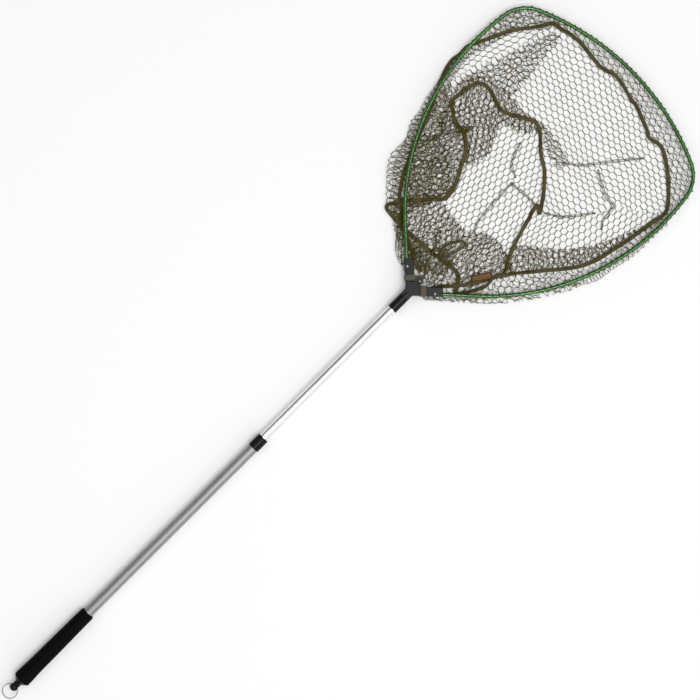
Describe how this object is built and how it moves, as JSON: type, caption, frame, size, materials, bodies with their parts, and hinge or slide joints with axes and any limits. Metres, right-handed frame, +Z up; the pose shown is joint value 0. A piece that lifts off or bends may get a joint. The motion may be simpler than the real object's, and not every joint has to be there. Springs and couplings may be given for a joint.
{
  "type": "landing net",
  "caption": "Angler's landing net: rounded-triangle tube hoop with a loose mesh bag on a Y hub, telescopic twist-lock handle, rubber grip and a hanging ring.",
  "frame": {"origin": "middle of the footprint, on the surface the net lies on", "axes": "+Z up, +Y along the handle from the grip to the head, +X to the right of the handle"},
  "size_m": [0.5683, 1.8609, 0.0376],
  "materials": {
    "handle_tube": "satin brushed, fine cross lines",
    "inner_tube": "polished",
    "grip_rubber": "matt black rubber",
    "black_plastic": "glossy black",
    "hub_plastic": "satin black moulded",
    "lock_plastic": "natural nylon",
    "lock_metal": "machined",
    "ring_metal": "nickel plated",
    "rivet_metal": "plain",
    "hoop_green": "green anodised, gloss",
    "netting": "knotless mesh, dark olive",
    "tape": "woven tape, olive brown",
    "strap": "webbing, olive grey",
    "label_cloth": "woven label, rust orange"
  },
  "bodies": {
    "handle": {"lower_tube": "handle_tube", "grip": "grip_rubber", "grip_end_cap": "grip_rubber", "collar": "black_plastic"},
    "ring": {"split_ring": "ring_metal"},
    "lock": {"expander_sleeve": "lock_plastic"},
    "cone": {"cone_nut": "lock_plastic"},
    "head": {"upper_tube": "inner_tube", "tube_plug": "lock_plastic", "lock_stud": "lock_metal", "stop_nut": "lock_metal", "hub": "hub_plastic", "rivet_right": "rivet_metal", "rivet_left": "rivet_metal", "hoop": "hoop_green", "hem_sleeve": "netting", "net_bag": "netting", "upper_seam_tape": "tape", "lower_seam_tape": "tape", "pull_loop": "tape", "label": "label_cloth", "retaining_strap_right": "strap", "retaining_strap_left": "strap"}
  },
  "joints": [
    {"name": "extension", "type": "slide", "parent": "handle", "child": "lock", "axis": [0, -1, 0], "range_m": [0, 0.375]},
    {"name": "twist", "type": "hinge", "parent": "lock", "child": "head", "pos_m": [0, 0, 0.0188], "axis": [0, 1, 0], "range_deg": [0, 180]},
    {"name": "cone_travel", "type": "slide", "parent": "lock", "child": "cone", "axis": [0, -1, 0], "range_m": [0, 0.0015]},
    {"name": "ring_swing", "type": "hinge", "parent": "handle", "child": "ring", "pos_m": [0, -0.8984, 0.0188], "axis": [1, 0, 0], "range_deg": [-95, 95]}
  ],
  "couplings": [
    {"joint": "cone_travel", "follows": "twist", "m_per_rad": 0.0004}
  ]
}
